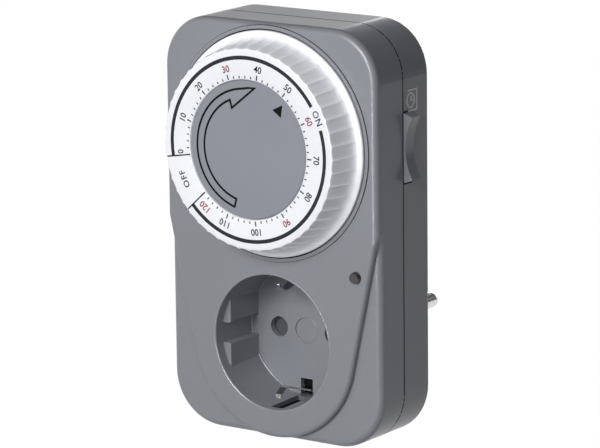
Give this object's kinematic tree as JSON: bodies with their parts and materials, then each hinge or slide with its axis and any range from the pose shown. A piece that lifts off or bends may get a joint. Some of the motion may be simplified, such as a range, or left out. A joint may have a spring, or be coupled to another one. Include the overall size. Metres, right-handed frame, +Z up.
{
  "type": "plug-in timer switch",
  "caption": "Plug-in mains timer switch with a turning minute dial above an earthed two-pin socket and a plug on the back.",
  "frame": {"origin": "centre of the plug's wall face, between the two pins, on the socket's axis", "axes": "+Y goes into the wall along the pins, +Z is up towards the dial, +X is to the right seen from the front"},
  "size_m": [0.0759, 0.081, 0.121],
  "materials": {
    "housing_plastic": "satin, finely textured",
    "dial_plastic": "smooth satin",
    "gear_plastic": "moulded",
    "rocker_plastic": "satin",
    "shutter_plastic": "moulded",
    "lens_plastic": "polished, smoked",
    "lamp_glass": "clear",
    "nickel": "nickel plated",
    "brass": "stamped",
    "steel": "zinc plated",
    "spring_steel": "drawn",
    "copper": "enamelled winding",
    "magnet": "sintered"
  },
  "bodies": {
    "housing": {"front_housing": "housing_plastic", "rear_housing": "housing_plastic", "plug_body": "housing_plastic", "socket_cup": "housing_plastic", "shutter_frame": "shutter_plastic", "dial_centre_cap": "housing_plastic", "motor_can": "steel", "motor_coil": "copper", "gear_plate": "steel", "dial_arbor": "steel", "idler_axle": "steel", "second_axle": "steel", "plate_screws": "steel", "rocker_pivot": "steel", "shutter_spring": "spring_steel", "contact_carrier": "shutter_plastic", "neutral_sleeve": "brass", "live_sleeve": "brass", "live_inlet_strip": "brass", "neutral_pin": "nickel", "live_pin": "nickel", "fixed_contact_leaf": "brass", "moving_contact_leaf": "brass", "switch_block": "shutter_plastic", "mode_contact_block": "shutter_plastic", "mode_contact_leaf": "brass", "earth_clip_top": "nickel", "earth_clip_bottom": "nickel", "earth_bar": "nickel", "indicator_lens": "lens_plastic", "indicator_lamp": "lamp_glass", "housing_screws": "steel"},
    "dial": {"dial_ring": "dial_plastic", "dial_gear": "gear_plastic", "switch_cam": "gear_plastic", "dial_circlip": "spring_steel"},
    "idler": {"idler_gear": "gear_plastic"},
    "second_wheel": {"second_gear": "gear_plastic"},
    "rotor": {"motor_pinion": "steel", "motor_magnet": "magnet"},
    "rocker": {"mode_rocker": "rocker_plastic"},
    "shutter": {"child_shutter": "shutter_plastic"}
  },
  "joints": [
    {"name": "dial_turn", "type": "hinge", "parent": "housing", "child": "dial", "pos_m": [0, -0.0515, 0.058], "axis": [0, 1, 0], "continuous": true},
    {"name": "idler_turn", "type": "hinge", "parent": "housing", "child": "idler", "pos_m": [-0.02006, -0.0435, 0.03993], "axis": [0, 1, 0], "continuous": true},
    {"name": "second_turn", "type": "hinge", "parent": "housing", "child": "second_wheel", "pos_m": [-0.0168, -0.0435, 0.0521], "axis": [0, 1, 0], "continuous": true},
    {"name": "rotor_turn", "type": "hinge", "parent": "housing", "child": "rotor", "pos_m": [-0.01472, -0.0435, 0.06392], "axis": [0, 1, 0], "continuous": true},
    {"name": "rocker_tilt", "type": "hinge", "parent": "housing", "child": "rocker", "pos_m": [0.0319, -0.0355, 0.0582], "axis": [0, 1, 0], "range_deg": [-5, 5]},
    {"name": "shutter_slide", "type": "slide", "parent": "housing", "child": "shutter", "axis": [0, 0, -1], "range_m": [0, 0.0068], "stiffness_N_per_m": 60, "springref_m": -0.002, "deforming": ["shutter_spring"]}
  ],
  "couplings": [
    {"joint": "idler_turn", "follows": "dial_turn", "ratio": -5},
    {"joint": "second_turn", "follows": "dial_turn", "ratio": 12.5},
    {"joint": "rotor_turn", "follows": "dial_turn", "ratio": -37.5}
  ]
}
